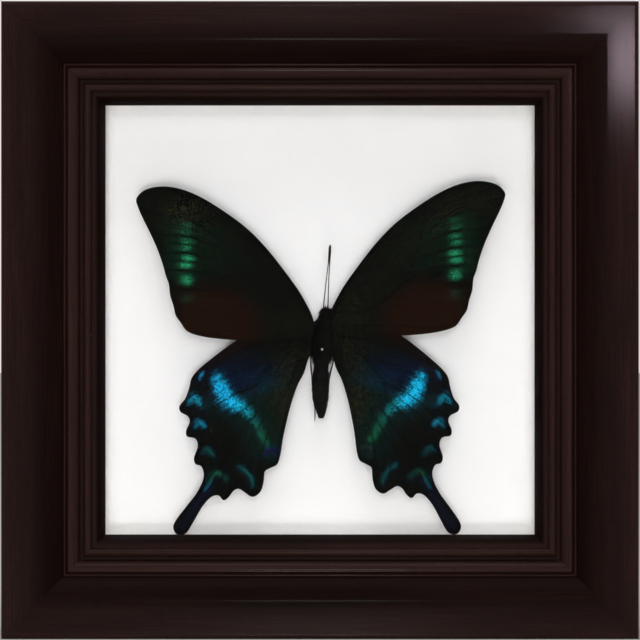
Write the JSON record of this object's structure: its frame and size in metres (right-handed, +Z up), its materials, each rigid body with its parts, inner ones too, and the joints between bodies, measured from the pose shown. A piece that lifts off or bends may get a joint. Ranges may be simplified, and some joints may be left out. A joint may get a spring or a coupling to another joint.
{
  "type": "framed butterfly specimen",
  "caption": "Set swallowtail butterfly pinned on a white board behind glass in a square moulded wooden shadow-box frame, standing or hung by a toothed hanger.",
  "frame": {"origin": "centre of the bottom face of the bottom rail, half way between the front plane and the back plane", "axes": "+X along the width to the viewer's right, +Y from the glass to the back, +Z up"},
  "size_m": [0.178, 0.032, 0.178],
  "materials": {
    "stained_wood": "dark espresso stain under satin lacquer",
    "fixing_steel": "zinc plated",
    "clear_glass": "clear float glass",
    "white_card": "matt white card",
    "mount_board": "matt white paper face on foam board",
    "hardboard": "smooth brown hardboard",
    "hanger_steel": "nickel plated",
    "body_hair": "short black hair over horn",
    "wing_scales": "black scales with green and blue structural colour",
    "horn": "dark horn",
    "pin_steel": "polished stainless wire"
  },
  "bodies": {
    "root": {"rail_bottom": "stained_wood", "rail_top": "stained_wood", "rail_left": "stained_wood", "rail_right": "stained_wood", "v_nail_bottom_left": "fixing_steel", "v_nail_bottom_right": "fixing_steel", "v_nail_top_left": "fixing_steel", "v_nail_top_right": "fixing_steel", "glass_pane": "clear_glass", "spacer_bottom": "white_card", "spacer_top": "white_card", "spacer_left": "white_card", "spacer_right": "white_card", "mount_board": "mount_board", "backboard": "hardboard", "flexi_point_bottom_1": "fixing_steel", "flexi_point_bottom_2": "fixing_steel", "flexi_point_top_1": "fixing_steel", "flexi_point_top_2": "fixing_steel", "flexi_point_left_1": "fixing_steel", "flexi_point_left_2": "fixing_steel", "flexi_point_right_1": "fixing_steel", "flexi_point_right_2": "fixing_steel", "sawtooth_hanger": "hanger_steel", "hanger_rivet_left": "hanger_steel", "hanger_rivet_right": "hanger_steel", "butterfly_body": "body_hair", "forewing_left": "wing_scales", "forewing_right": "wing_scales", "hindwing_left": "wing_scales", "hindwing_right": "wing_scales", "antenna_left": "horn", "antenna_right": "horn", "leg_fore_left": "horn", "leg_fore_right": "horn", "leg_mid_left": "horn", "leg_mid_right": "horn", "leg_hind_left": "horn", "leg_hind_right": "horn", "insect_pin": "pin_steel"}
  },
  "joints": []
}
